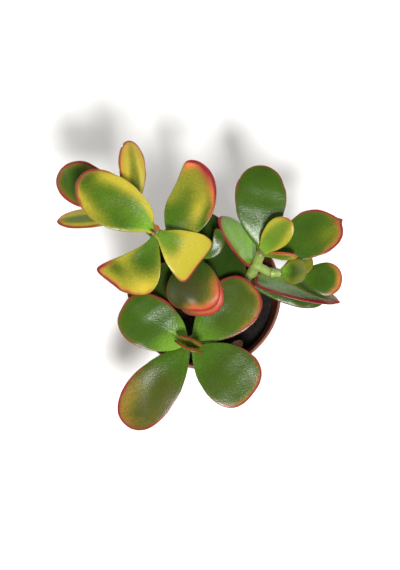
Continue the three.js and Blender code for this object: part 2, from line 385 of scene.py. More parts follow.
@dataclass(frozen=True)
class FleshyBark:
    """The skin of a young succulent stem: green at the tip, turning tan and corky towards the soil."""

    name: str = "jade stem, green skin turning to thin cork"
    green: str = "#6c8437"
    young: str = "#93a757"
    cork: str = "#7d6546"
    scar: str = "#5b4a2c"
    fissure_mm: float = 3.125

    def material(self) -> bpy.types.Material:
        """Builds the bark: skin colour by age, leaf-scar rings and a fine fissured bump."""
        material, node = new_material(self.name)
        place = {"Vector": node("ShaderNodeTexCoord").outputs["Object"]}
        age = node("ShaderNodeAttribute", attribute_name="age").outputs["Fac"]
        ring = node("ShaderNodeAttribute", attribute_name="ring").outputs["Fac"]
        fissures = {"Scale": 1000 / self.fissure_mm, "Detail": 5.0, "Roughness": 0.62}
        patch = node("ShaderNodeTexNoise", fissures, place).outputs["Fac"]
        blend = node("ShaderNodeMath", {1: 0.7}, {0: patch, 2: age}, operation="MULTIPLY_ADD").outputs[0]
        span = {"From Min": 0.85, "From Max": 1.15}
        corky = node("ShaderNodeMapRange", span, {"Value": blend}).outputs["Result"]
        pair = {6: linear(self.green), 7: linear(self.young)}
        colour = node("ShaderNodeMix", pair, {0: patch}, data_type="RGBA").outputs[2]
        for share, over in ((corky, self.cork), (ring, self.scar)):
            layer = {0: share, 6: colour}
            colour = node("ShaderNodeMix", {7: linear(over)}, layer, data_type="RGBA").outputs[2]
        bump = node("ShaderNodeBump", {"Strength": 0.5, "Distance": 0.0003}, {"Height": patch})
        rough = node("ShaderNodeMapRange", {"To Min": 0.38, "To Max": 0.8}, {"Value": corky})
        sockets = {
            "Subsurface Weight": 0.1, "Subsurface Radius": (1.0, 1.2, 0.4), "Subsurface Scale": 0.001,
        }
        links = {
            "Base Color": colour, "Normal": bump.outputs["Normal"], "Roughness": rough.outputs["Result"],
        }
        shader = node("ShaderNodeBsdfPrincipled", sockets, links)
        node("ShaderNodeOutputMaterial", links={"Surface": shader.outputs["BSDF"]})
        return material


@dataclass(frozen=True)
class MouldedPlastic:
    """Thin terracotta-coloured polypropylene, injection moulded with a satin, slightly dusty skin."""

    name: str = "polypropylene, injection moulded satin terracotta"
    body: str = "#6e3a2c"
    faded: str = "#80493a"
    # the colour of the dust specks, and of the painted shade inside the wall
    dust_and_shade: str = "#1c110c"
    flow_mm: float = 16.7
    dust_mm: float = 2.22
    grain_mm: float = 0.455

    def material(self) -> bpy.types.Material:
        """Builds the plastic: even colour, faint flow clouds, a fine mould grain, dust specks and painted
        shade over the inside of the wall.
        """
        material, node = new_material(self.name)
        place = {"Vector": node("ShaderNodeTexCoord").outputs["Object"]}
        clouds = {"Scale": 1000 / self.flow_mm, "Detail": 5.0, "Roughness": 0.6}
        flow = node("ShaderNodeTexNoise", clouds, place).outputs["Fac"]
        specks = {"Scale": 1000 / self.dust_mm, "Detail": 6.0, "Roughness": 0.7}
        dust = node("ShaderNodeTexNoise", specks, place).outputs["Fac"]
        worn = {"From Min": 0.4, "From Max": 0.75, "To Max": 0.55}
        fade = node("ShaderNodeMapRange", worn, {"Value": flow})
        dirt = node("ShaderNodeMapRange", {"From Min": 0.6, "From Max": 0.72, "To Max": 0.5}, {"Value": dust})
        # painted shade: the inside of the wall is darkened, up to just below the lip
        stain = node("ShaderNodeAttribute", attribute_name="stain").outputs["Fac"]
        pair = {6: linear(self.body), 7: linear(self.faded)}
        colour = node("ShaderNodeMix", pair, {0: fade.outputs["Result"]}, data_type="RGBA").outputs[2]
        for share in (dirt.outputs["Result"], stain):
            layer = {0: share, 6: colour}
            colour = node("ShaderNodeMix", {7: linear(self.dust_and_shade)}, layer, data_type="RGBA").outputs[2]
        grain = node("ShaderNodeTexNoise", {"Scale": 1000 / self.grain_mm}, place).outputs["Fac"]
        bump = node("ShaderNodeBump", {"Strength": 0.25, "Distance": 0.0001}, {"Height": grain})
        rough = node("ShaderNodeMapRange", {"To Min": 0.36, "To Max": 0.58}, {"Value": flow})
        links = {
            "Base Color": colour, "Normal": bump.outputs["Normal"], "Roughness": rough.outputs["Result"],
        }
        shader = node("ShaderNodeBsdfPrincipled", {"IOR": 1.49}, links)
        node("ShaderNodeOutputMaterial", links={"Surface": shader.outputs["BSDF"]})
        return material


@dataclass(frozen=True)
class PottingMix:
    """Damp peat: nearly black, rough, with a few paler fibres and grits."""

    name: str = "peat potting mix, damp and loose"
    peat: str = "#0c0a08"
    crumb: str = "#1d1711"
    fibre: str = "#46372a"
    crumb_mm: float = 2.38
    fibre_mm: float = 3.85

    def material(self) -> bpy.types.Material:
        """Builds the peat: dark crumbs, thin fibres and a rough broken bump."""
        material, node = new_material(self.name)
        place = {"Vector": node("ShaderNodeTexCoord").outputs["Object"]}
        lumps = {"Scale": 1000 / self.crumb_mm, "Detail": 6.0, "Roughness": 0.7}
        crumbs = node("ShaderNodeTexNoise", lumps, place).outputs["Fac"]
        fibres = {"Scale": 1000 / self.fibre_mm, "Detail": 3.0, "Distortion": 2.5}
        threads = node("ShaderNodeTexNoise", fibres, place).outputs["Fac"]
        share = node("ShaderNodeMapRange", {"From Min": 0.4, "From Max": 0.72}, {"Value": crumbs})
        thin = {"From Min": 0.7, "From Max": 0.76, "To Max": 0.7}
        thread = node("ShaderNodeMapRange", thin, {"Value": threads})
        pair = {6: linear(self.peat), 7: linear(self.crumb)}
        colour = node("ShaderNodeMix", pair, {0: share.outputs["Result"]}, data_type="RGBA").outputs[2]
        layer = {0: thread.outputs["Result"], 6: colour}
        colour = node("ShaderNodeMix", {7: linear(self.fibre)}, layer, data_type="RGBA").outputs[2]
        bump = node("ShaderNodeBump", {"Strength": 0.9, "Distance": 0.0008}, {"Height": crumbs})
        links = {"Base Color": colour, "Normal": bump.outputs["Normal"]}
        shader = node("ShaderNodeBsdfPrincipled", {"Roughness": 0.92, "Specular IOR Level": 0.25}, links)
        node("ShaderNodeOutputMaterial", links={"Surface": shader.outputs["BSDF"]})
        return material


@dataclass(frozen=True)
class StudioPaper:
    """Plain white seamless paper for the floor."""

    name: str = "white seamless paper"
    white: str = "#f6f5f3"
    fleck: str = "#efeeeb"
    tooth_mm: float = 25.0

    def material(self) -> bpy.types.Material:
        """Builds the paper: almost even white with a faint tooth."""
        material, node = new_material(self.name)
        place = {"Vector": node("ShaderNodeTexCoord").outputs["Object"]}
        tooth = node("ShaderNodeTexNoise", {"Scale": 1000 / self.tooth_mm, "Detail": 3.0}, place)
        pair = {6: linear(self.white), 7: linear(self.fleck)}
        colour = node("ShaderNodeMix", pair, {0: tooth.outputs["Fac"]}, data_type="RGBA").outputs[2]
        sockets = {"Roughness": 0.9, "Specular IOR Level": 0.1}
        shader = node("ShaderNodeBsdfPrincipled", sockets, {"Base Color": colour})
        node("ShaderNodeOutputMaterial", links={"Surface": shader.outputs["BSDF"]})
        return material


# ---- the pot and the potting mix ----
@dataclass
class NurseryPot:
    """The round thin-walled pot: a tapered body, a stepped rim band, a rounded lip and drain holes."""

    height: float = 76.0
    base_radius: float = 31.0
    neck_radius: float = 42.6
    rim_radius: float = 45.0
    band_height: float = 10.0
    wall: float = 1.2
    floor: float = 1.6
    holes: int = 8
    hole_radius: float = 3.5
    hole_circle: float = 21.0
    sides: int = 144

    def profile(self) -> list[tuple[float, float]]:
        """Radius and height of each ring, up the outside, over the lip and down the inside."""
        step = self.height - self.band_height
        slope = (self.neck_radius - self.base_radius) / (step - 1)
        rings = [(self.base_radius, 1.0)]
        # two shallow moulded beads round the body, one low down and one near the rim band
        for low in (13.0, step - 7.0):
            radius = self.base_radius + slope * (low - 1)
            for out, up in ((0, 0), (0.45, 0.5), (0.65, 1.4), (0.4, 2.0)):
                rings.append((radius + out, low + up))
        rings += [(self.neck_radius, step), (self.rim_radius - 0.7, step), (self.rim_radius, step + 0.7)]
        # the rolled lip, by how far each ring lies in from the rim and down from the top
        lip = ((0, 1.0), (0.15, 0.45), (0.5, 0.1), (0.95, 0), (1.4, 0.1), (1.75, 0.45), (1.9, 1.0))
        for inward, down in lip:
            rings.append((self.rim_radius - inward, self.height - down))
        rings += [(self.rim_radius - 2.1, step + 2), (self.neck_radius - self.wall, step - 1.5)]
        inner = self.base_radius - self.wall
        return rings + [(inner, self.floor + 1), (inner - 1, self.floor)]

    def build(self) -> bpy.types.Object:
        """Draws the base disc up ring by ring into the whole shell, then drills the drain holes."""
        deselect_all()
        start = self.base_radius - 1
        bpy.ops.mesh.primitive_circle_add(vertices=self.sides, radius=start * MM, fill_type="NGON")
        shell = bpy.context.object
        shell.name = "pot_shell"
        bpy.ops.object.mode_set(mode="EDIT")
        bpy.ops.mesh.select_all(action="SELECT")
        radius, level = start, 0.0
        for next_radius, next_level in self.profile():
            lift = (0, 0, (next_level - level) * MM)
            bpy.ops.mesh.extrude_region_move(TRANSFORM_OT_translate={"value": lift})
            scale = next_radius / radius
            bpy.ops.transform.resize(value=(scale, scale, 1.0))
            radius, level = next_radius, next_level
        bpy.ops.object.mode_set(mode="OBJECT")
        face_outwards(shell)
        self.drill(shell)
        return shell

    def drill(self, shell: bpy.types.Object) -> None:
        """Cuts the ring of round drain holes through the floor."""
        for i in range(self.holes):
            angle = 2 * math.pi * i / self.holes
            spot = (self.hole_circle * math.cos(angle) * MM, self.hole_circle * math.sin(angle) * MM, 0.0)
            deselect_all()
            bpy.ops.mesh.primitive_cylinder_add(
                vertices=32, radius=self.hole_radius * MM, depth=4 * self.floor * MM, location=spot
            )
            drill = bpy.context.object
            apply_modifier(shell, "BOOLEAN", operation="DIFFERENCE", object=drill, solver="EXACT")
            bpy.data.objects.remove(drill, do_unlink=True)

    def dress(self, shell: bpy.types.Object) -> None:
        """Smooths the turned faces, keeps the moulded steps crisp, and gives the shell its plastic."""
        apply_modifier(
            shell, "BEVEL", width=0.12 * MM, segments=2, limit_method="ANGLE", angle_limit=math.radians(50)
        )
        points = coordinates(shell.data) / MM
        out = np.hypot(points[:, 0], points[:, 1])
        wall = self.rim_radius - 1.3 - out
        inner = np.interp(points[:, 2], [0, self.height], [self.base_radius - 0.6, self.rim_radius - 1.6])
        inside = smoothstep(0, 0.4, inner - out) * (points[:, 2] > self.floor)
        # painted shade: the inside of the wall, up to just below the lip, is marked to be darkened
        add_values(shell.data, "stain", 0.95 * inside * smoothstep(-0.2, 0.5, wall))
        activate(shell)
        bpy.ops.object.shade_smooth_by_angle(angle=math.radians(35))
        shell.data.materials.append(MouldedPlastic().material())
        settle(shell, ["pot"])


@dataclass
class PottingSoil:
    """The potting mix: a plug that fills the pot, with a crumbly crowned top and loose crumbs on it."""

    top: float = 64.0
    crown: float = 2.5
    foot: float = 2.0
    foot_radius: float = 29.2
    top_radius: float = 40.6
    sides: int = 128
    rings: int = 34
    crumbs: int = 420
    seed: int = 11

    def level(self, x: float, y: float) -> float:
        """Height of the loose surface at a place, in millimetres."""
        radius = math.hypot(x, y)
        swell = self.top + self.crown * (1 - (radius / self.top_radius) ** 2)
        here = Vector((x / 9, y / 9, 4.2))
        lumps = noise.fractal(here, 0.9, 2.1, 5) * 1.1
        return swell + lumps + noise.fractal(here * 5, 0.8, 2.0, 3) * 0.35

    def build(self) -> bpy.types.Object:
        """Tapers a cylinder to the pot, rings its top by insets, and roughens that top."""
        deselect_all()
        depth = self.top - self.foot
        bpy.ops.mesh.primitive_cylinder_add(
            vertices=self.sides,
            radius=self.top_radius * MM,
            depth=depth * MM,
            location=(0, 0, (self.foot + depth / 2) * MM),
        )
        plug = bpy.context.object
        plug.name = "soil_plug"
        bpy.ops.object.transform_apply(location=True, rotation=True, scale=True)
        bpy.ops.object.mode_set(mode="EDIT")
        self.pick_cap(plug, upper=False)
        taper = self.foot_radius / self.top_radius
        bpy.ops.transform.resize(value=(taper, taper, 1.0))
        self.pick_cap(plug, upper=True)
        for _ in range(self.rings):
            bpy.ops.mesh.inset(thickness=self.top_radius / (self.rings + 1.5) * MM)
        bpy.ops.mesh.poke()
        bpy.ops.object.mode_set(mode="OBJECT")
        points = coordinates(plug.data)
        upper = points[:, 2] > (self.top - 0.5) * MM
        for i in np.nonzero(upper)[0]:
            x, y = points[i, 0] / MM, points[i, 1] / MM
            points[i, 2] = self.level(x, y) * MM
        move_vertices(plug.data, points)
        return plug

    @staticmethod
    def pick_cap(plug: bpy.types.Object, upper: bool) -> None:
        """Selects only the flat cap at the top or at the bottom of the plug, in edit mode."""
        bpy.ops.mesh.select_all(action="DESELECT")
        edit = bmesh.from_edit_mesh(plug.data)
        facing = max if upper else min
        cap = facing(edit.faces, key=lambda face: face.normal.z * face.calc_area())
        cap.select_set(True)
        bmesh.update_edit_mesh(plug.data)

    def scatter(self) -> bpy.types.Object:
        """Shapes one crumb, and lays many turned and squashed copies of it on the surface."""
        deselect_all()
        bpy.ops.mesh.primitive_ico_sphere_add(subdivisions=1, radius=1.0)
        crumb = bpy.context.object
        shape = coordinates(crumb.data)
        faces = [tuple(face.vertices) for face in crumb.data.polygons]
        bpy.data.objects.remove(crumb, do_unlink=True)
        rng = np.random.RandomState(self.seed)
        points: list[np.ndarray] = []
        polygons: list[tuple[int, ...]] = []
        for i in range(self.crumbs):
            radius = (self.top_radius - 1.2) * math.sqrt(rng.uniform())
            angle = rng.uniform(0, 2 * math.pi)
            x, y = radius * math.cos(angle), radius * math.sin(angle)
            size = rng.uniform(0.35, 1.25) * np.array([1.0, rng.uniform(0.4, 0.9), rng.uniform(0.4, 0.8)])
            turn = np.linalg.qr(rng.normal(size=(3, 3)))[0]
            if np.linalg.det(turn) < 0:
                turn[:, 0] *= -1
            rough = shape * rng.uniform(0.75, 1.2, size=(len(shape), 1))
            centre = np.array([x, y, self.level(x, y) + 0.2 * size.min()])
            points.append(((rough * size) @ turn.T + centre) * MM)
            polygons += [tuple(v + i * len(shape) for v in face) for face in faces]
        mesh = bpy.data.meshes.new("soil_crumbs")
        mesh.from_pydata(np.concatenate(points).tolist(), [], polygons)
        return new_object("soil_crumbs", mesh)

    def dress(self, plug: bpy.types.Object, litter: bpy.types.Object) -> None:
        """Gives the plug and its crumbs the damp peat."""
        peat = PottingMix().material()
        for piece in (plug, litter):
            piece.data.materials.append(peat)
        activate(plug)
        bpy.ops.object.shade_smooth_by_angle(angle=math.radians(60))
        settle(plug, ["soil"])
        settle(litter)


# ---- the leaves ----
@dataclass(frozen=True)
class Patch:
    """A soft spot that adds to one colour mask, or takes from it: place and spread as shares of the blade."""

    mask: str
    along: float
    across: float
    long: float
    wide: float
    amount: float

    def spread(self, along: np.ndarray, across: np.ndarray) -> np.ndarray:
        """The spot's strength over the blade."""
        ahead, aside = (along - self.along) / self.long, (across - self.across) / self.wide
        return self.amount * np.exp(-(ahead**2) - aside**2)


@dataclass(frozen=True)
class Band:
    """A coloured band inside a leaf's margin."""

    strength: float = 0.0
    width: float = 4.0  # mm
    start: float = 0.4  # where along the blade it starts
    side: float = 0.0  # favours the left margin, or the right one when negative

    def fringe(self, spread: Mapping[str, np.ndarray], ripple: np.ndarray, solid: float) -> np.ndarray:
        """The band's cover, which fades inwards, towards the base and away from one side.

        Args:
            spread: Where each vertex lies on the blade, as Look.paint takes it.
            ripple: A fine random field that makes the band uneven.
            solid: The share of the width that keeps the band's full cover.

        Returns:
            The cover, from 0 to 1.
        """
        weight = smoothstep(self.start - 0.3, self.start + 0.25, spread["along"] + 0.04 * ripple)
        weight = np.clip(weight * np.clip(1 + self.side * spread["across"] * 1.6, 0, 1.15), 0, 1)
        width = np.maximum(self.width * (0.3 + 0.7 * weight) * (1 + 0.12 * ripple), 0.05)
        return weight * (1 - smoothstep(solid, 1.5, spread["edge"] / width))


@dataclass(frozen=True)
class Look:
    """How one leaf is coloured. Left and right are as seen from the leaf's base towards its tip."""

    gold: float = 0.0  # strength of the yellow sector
    core: float = 1.0  # half-width of the green core, as a share of the blade's
    reach: float = 1.0  # how far from the base the green core goes
    shift: float = 0.0  # moves the green core to the left
    rim: Band = Band(0.8, 1.2, 0.3)  # the red margin
    blush: Band = Band()  # the orange sun blush inside it
    bronze: float = 0.0  # brown tinge over the green
    pale: float = 0.3  # paler flesh towards the base
    patches: tuple[Patch, ...] = ()

    def paint(self, spread: Mapping[str, np.ndarray], seed: int) -> dict[str, np.ndarray]:
        """Works out the colour masks over one blade.

        Args:
            spread: Per vertex: "along" (0 to 1), "across" (-1 to 1), "edge" (mm in from the margin),
                "under" (1 on the lower side) and "flat" (place on the blade, mm).
            seed: Picks the leaf's own irregularities.

        Returns:
            The masks that the skin reads, each from 0 to 1.
        """
        along, across, under = (spread[k] for k in ("along", "across", "under"))
        drift = wobble(spread["flat"], 22.0, seed)
        ripple = wobble(spread["flat"], 7.0, seed + 1)
        core = np.hypot((across - self.shift) / self.core, along / self.reach)
        # the lower side shows more red along its margin
        lower = under * 0.8 * (1 - smoothstep(0.6, 2.6, spread["edge"]))
        masks = {
            "gold": self.gold * smoothstep(0.5, 1.25, core + 0.09 * drift),
            "blush": self.blush.strength * self.blush.fringe(spread, ripple, 0),
            "rim": self.rim.strength * np.maximum(self.rim.fringe(spread, ripple, 0.6), lower),
            "pale": self.pale * np.clip(1 - along / 0.42 + 0.15 * drift, 0, 1) + 0.35 * under,
            "bronze": self.bronze * np.clip(0.8 + 0.25 * drift, 0, 1) * smoothstep(0.15, 0.55, along),
        }
        for patch in self.patches:
            masks[patch.mask] = masks[patch.mask] + patch.spread(along, across)
        return {name: np.clip(values, 0, 1) for name, values in masks.items()}


@dataclass(frozen=True)
class Leaf:
    """One leaf: where it leaves its stem, how it bends, its outline and its colours. Angles in degrees."""

    azimuth: float
    rise: float
    curl: float
    length: float
    width: float
    down: float = 0.0
    young: float = 0.0
    thickness: float = 4.2
    blunt: float = 0.5
    skew: float = 0.0
    belly: float = 0.62
    lean: float = 0.0
    sweep: float = 0.0
    roll: float = 0.0
    cup: float = 0.12
    point: float = 0.0  # a small pointed end, mm
    notch: float = 0.0  # an old nick beside the tip, mm
    slot: Slot = Slot.GREEN
    look: Look = field(default_factory=Look)

    def heading(self) -> np.ndarray:
        """The level direction that the leaf sets off in."""
        angle = math.radians(self.azimuth)
        return np.array([math.cos(angle), math.sin(angle), 0.0])


class LeafBlank:
    """The one ball that every leaf is pressed from, each from its own copy."""

    def __init__(self, around: int = 64, along: int = 60) -> None:
        """Models the ball, its poles at the leaf's base and tip, and keeps its points."""
        deselect_all()
        bpy.ops.mesh.primitive_uv_sphere_add(segments=around, ring_count=along, radius=1.0)
        self.ball = bpy.context.object
        self.ball.name = "leaf_blank"
        x, y, z = coordinates(self.ball.data).T
        ring = np.hypot(x, y)
        safe = np.where(ring > 1e-6, ring, 1.0)
        self.across = np.where(ring > 1e-6, x / safe, 0.0)
        self.facing = np.where(ring > 1e-6, y / safe, 0.0)
        self.share = (1 + z) / 2

    def remove(self) -> None:
        """Takes the ball away once every leaf is made."""
        bpy.data.objects.remove(self.ball, do_unlink=True)

    def press(self, leaf: Leaf, base: np.ndarray, name: str, seed: int, root: float) -> bpy.types.Object:
        """Presses a copy of the ball into one leaf.

        Args:
            leaf: The leaf's shape and colours.
            base: Where its stalkless base leaves the stem's skin, mm.
            name: The new piece's name.
            seed: Picks the leaf's own irregularities.
            root: How far the base runs on into the stem, mm.

        Returns:
            The new object, with its colour masks stored on its vertices.
        """
        run = self.share * (leaf.length + root)
        along = np.clip((run - root) / leaf.length, 0.0, 1.0)
        left_side = np.where(self.across >= 0, 1.0, -1.0)
        ragged = wobble(np.column_stack([run, 40 * left_side]), 11.0, seed) * (0.008 * leaf.width)
        half = self.half_width(leaf, along, self.across, run, root)
        free = smoothstep(0.15, 0.4, along) * (1 - smoothstep(0.93, 1.0, along))
        half = half + ragged * free * self.across**2
        nick = np.exp(-(((along - 0.935) / 0.014) ** 2)) * leaf.notch * (self.across > 0)
        half = np.maximum(half - nick * self.across**2, 0.0)
        thickness = min(leaf.thickness, leaf.width * 0.3)
        closing = np.sqrt(np.clip(run / 2.4, 0, 1))
        deep = thickness / 2 * closing * (1.08 - 0.3 * along) * np.sqrt(np.clip(1 - along**7, 0, 1))
        rounding = np.abs(self.facing)
        crown = np.where(self.facing > 0, 0.8 * rounding**1.25, -1.15 * rounding**1.05) * deep
        # the two halves fold up a little along the midrib, most near the base
        lift = leaf.cup * (1.7 - 1.3 * along) * half * np.abs(self.across) ** 1.5
        stations = self.midrib(leaf, base, root)
        centre, left, up, ahead = (self.sample(stations[k], run, leaf.length + root) for k in range(4))
        flat = np.column_stack([self.across * half, run])
        swell = 0.045 * thickness * wobble(flat, 13.0, seed + 2) * np.sqrt(rounding)
        tip = leaf.point * smoothstep(0.86, 1.0, along) * np.exp(-((self.across * half / 1.5) ** 2))
        height = crown + lift + swell
        points = centre + left * (self.across * half)[:, None] + up * height[:, None] + ahead * tip[:, None]
        piece = self.ball.copy()
        piece.data = self.ball.data.copy()
        piece.name = piece.data.name = name
        bpy.context.scene.collection.objects.link(piece)
        move_vertices(piece.data, points * MM)
        spread = {
            "along": along,
            "across": self.across,
            "edge": self.edge_distance(leaf, flat, root),
            "under": (self.facing < -0.05).astype(float),
            "flat": flat,
        }
        for mask, values in leaf.look.paint(spread, seed + 5).items():
            add_values(piece.data, mask, values)
        piece.data.shade_smooth()
        return piece

    @staticmethod
    def half_width(
        leaf: Leaf, along: np.ndarray, across: np.ndarray, run: np.ndarray, root: float
    ) -> np.ndarray:
        """Half the blade's width: a wedge that swells to a round end, on a clasping base.

        Args:
            leaf: The leaf's shape.
            along: Place from base to tip, 0 to 1.
            across: Place from the right margin (-1) to the left (1).
            run: Distance from the hidden end of the base, mm.
            root: Length of the hidden base, mm.

        Returns:
            The half-width in millimetres.
        """
        belly = leaf.belly + leaf.lean * across
        blunt = leaf.blunt + leaf.skew * across
        wedge = blunt * belly / (1 - belly)
        swell = along**wedge * (1 - along) ** blunt / (belly**wedge * (1 - belly) ** blunt)
        neck = min(2.9, leaf.width * 0.25)
        stalk = neck * np.sqrt(1 - along) * np.sqrt(np.clip(run / (0.6 * root + 0.4), 0, 1))
        return np.hypot(leaf.width / 2 * swell, stalk)

    @staticmethod
    def midrib(leaf: Leaf, base: np.ndarray, root: float, steps: int = 90) -> list[np.ndarray]:
        """Follows the midrib from inside the stem to the tip.

        Args:
            leaf: The leaf's shape.
            base: Where the leaf leaves the stem's skin, mm.
            root: Length of the hidden base, mm.
            steps: Number of steps.

        Returns:
            Arrays of points, leftward, upward and forward directions along the midrib.
        """
        total = leaf.length + root
        share = np.clip((np.linspace(0, total, steps + 1) - root) / leaf.length, 0, 1)
        heading = np.radians(leaf.azimuth + leaf.sweep * share)
        pitch = np.radians(leaf.rise + leaf.curl * share)
        ahead = np.column_stack(
            [np.cos(pitch) * np.cos(heading), np.cos(pitch) * np.sin(heading), np.sin(pitch)]
        )
        level = np.column_stack([-np.sin(heading), np.cos(heading), np.zeros(steps + 1)])
        lift = np.cross(ahead, level)
        turn = math.radians(leaf.roll)
        left = math.cos(turn) * level + math.sin(turn) * lift
        up = np.cross(ahead, left)
        start = base - ahead[0] * root
        points = start + np.vstack([np.zeros(3), np.cumsum(ahead[:-1] * (total / steps), axis=0)])
        return [points, left, up, ahead]

    @staticmethod
    def sample(rows: np.ndarray, run: np.ndarray, total: float) -> np.ndarray:
        """Reads evenly spaced rows at given distances along them."""
        ticks = np.linspace(0, total, len(rows))
        return np.column_stack([np.interp(run, ticks, rows[:, k]) for k in range(3)])

    def edge_distance(self, leaf: Leaf, flat: np.ndarray, root: float) -> np.ndarray:
        """Distance of each vertex from the blade's outline, measured on the flattened blade, mm."""
        angle = np.linspace(0, math.pi, 150)
        run = (leaf.length + root) * (1 - np.cos(angle)) / 2
        along = np.clip((run - root) / leaf.length, 0.0, 1.0)
        rows = []
        for side in (-1.0, 1.0):
            half = self.half_width(leaf, along, np.full(150, side), run, root)
            rows.append(np.column_stack([side * half, run]))
        outline = np.vstack([rows[0], rows[1][::-1]])
        first, second = outline[:-1], outline[1:]
        line = second - first
        square = np.maximum((line**2).sum(axis=1), 1e-9)
        offset = flat[:, None, :] - first[None, :, :]
        share = np.clip((offset * line).sum(axis=2) / square, 0, 1)
        gap = offset - share[:, :, None] * line
        distance = np.sqrt((gap**2).sum(axis=2)).min(axis=1)
        return np.where(np.abs(self.across) > 0.9999, 0.0, distance)


# ---- the shoots ----
class StemAxis:
    """A smooth line through a stem's points, with even steps along its length."""

    def __init__(self, points: Sequence[Point]) -> None:
        """Fits a centripetal Catmull-Rom curve through the points, mm."""
        rows = [np.array(p, dtype=float) for p in points]
        rows = [2 * rows[0] - rows[1], *rows, 2 * rows[-1] - rows[-2]]
        line: list[np.ndarray] = []
        for k in range(len(rows) - 3):
            line += self.segment(*rows[k : k + 4], last=k == len(rows) - 4)
        self.line = np.array(line)
        steps = np.linalg.norm(np.diff(self.line, axis=0), axis=1)
        self.ticks = np.concatenate([[0.0], np.cumsum(steps)])
        self.length = float(self.ticks[-1])

    @staticmethod
    def segment(
        p0: np.ndarray, p1: np.ndarray, p2: np.ndarray, p3: np.ndarray, last: bool
    ) -> list[np.ndarray]:
        """Points of the curve from p1 to p2, with p2 itself only on the last stretch."""
        d0, d1, d2 = (math.sqrt(np.linalg.norm(b - a)) for a, b in ((p0, p1), (p1, p2), (p2, p3)))
        m1 = ((p1 - p0) / d0 - (p2 - p0) / (d0 + d1) + (p2 - p1) / d1) * d1
        m2 = ((p2 - p1) / d1 - (p3 - p1) / (d1 + d2) + (p3 - p2) / d2) * d1
        rows = []
        for s in np.linspace(0, 1, 41)[: 41 if last else 40]:
            rows.append(
                p1 + m1 * s + (-3 * p1 + 3 * p2 - 2 * m1 - m2) * s**2 + (2 * p1 - 2 * p2 + m1 + m2) * s**3
            )
        return rows

    def at(self, run: float | np.ndarray) -> np.ndarray:
        """The point, or points, at a distance from the foot."""
        return np.stack([np.interp(run, self.ticks, self.line[:, k]) for k in range(3)], axis=-1)

    def direction(self, run: float) -> np.ndarray:
        """The way that the stem grows at a distance from its foot."""
        step = self.at(min(run + 0.2, self.length)) - self.at(max(run - 0.2, 0.0))
        return step / np.linalg.norm(step)


@dataclass
class Shoot:
    """One shoot: its stem's line from foot to tip, its radii at both ends, and its leaves."""

    name: str
    stem: list[Point]
    radii: tuple[float, float]
    leaves: list[Leaf]
    joins: str = ""
    clearance: float = 0.3

    def __post_init__(self) -> None:
        """Fits the stem's line."""
        self.axis = StemAxis(self.stem)

    def radius(self, run: np.ndarray | float) -> np.ndarray | float:
        """The stem's plain radius at a distance from its foot, mm."""
        return self.radii[0] + (self.radii[1] - self.radii[0]) * run / self.axis.length

    def leaf_base(self, leaf: Leaf) -> np.ndarray:
        """Where a leaf leaves the stem's skin, mm."""
        run = self.axis.length - leaf.down
        heading = leaf.heading()
        slant = float(np.linalg.norm(np.cross(self.axis.direction(run), heading)))
        bark = float(self.radius(run)) + self.clearance + 0.4
        reach = leaf.thickness / 2 + self.clearance if leaf.young else bark / slant
        return self.axis.at(run) + heading * reach + np.array([0.0, 0.0, leaf.young])

    def rings(self) -> list[float]:
        """Distances from the foot of every node: the leaf-bearing ones and the scars of shed leaves."""
        joints = {round(self.axis.length - leaf.down, 1) for leaf in self.leaves if not leaf.young}
        bare = min(joints) - 8.0
        while bare > 8.0:
            joints.add(round(bare, 1))
            bare -= 7.5
        return sorted(joints)

    def build_stem(self) -> bpy.types.Object:
        """Draws the stem as a round curve with swollen nodes and a domed tip, and turns it to a mesh."""
        count = 110
        run = np.linspace(0, self.axis.length + 1.4, count)
        radius = np.asarray(self.radius(np.minimum(run, self.axis.length)))
        for ring in self.rings():
            radius = radius * (1 + 0.13 * np.exp(-(((run - ring) / 1.3) ** 2)))
            radius = radius * (1 - 0.05 * np.exp(-(((run - ring - 2.2) / 0.8) ** 2)))
        dome = np.clip((self.axis.length + 1.4 - run) / 2.6, 0, 1)
        radius = radius * np.sqrt(np.clip(1 - (1 - dome) ** 2, 0.01, 1))
        points = self.axis.at(run)
        beyond = np.maximum(run - self.axis.length, 0)[:, None]
        points = points + beyond * self.axis.direction(self.axis.length)
        curve = bpy.data.curves.new(f"{self.name}_stem_line", "CURVE")
        curve.dimensions = "3D"
        curve.bevel_depth = MM
        curve.bevel_resolution = 6
        curve.use_fill_caps = True
        spline = curve.splines.new("POLY")
        spline.points.add(count - 1)
        for node, place, thick in zip(spline.points, points, radius):
            node.co = (*(place * MM), 1.0)
            node.radius = float(thick)
        activate(new_object(f"{self.name}_stem_bark", curve))
        bpy.ops.object.convert(target="MESH")
        made = bpy.context.object
        face_outwards(made, weld=True)
        return made


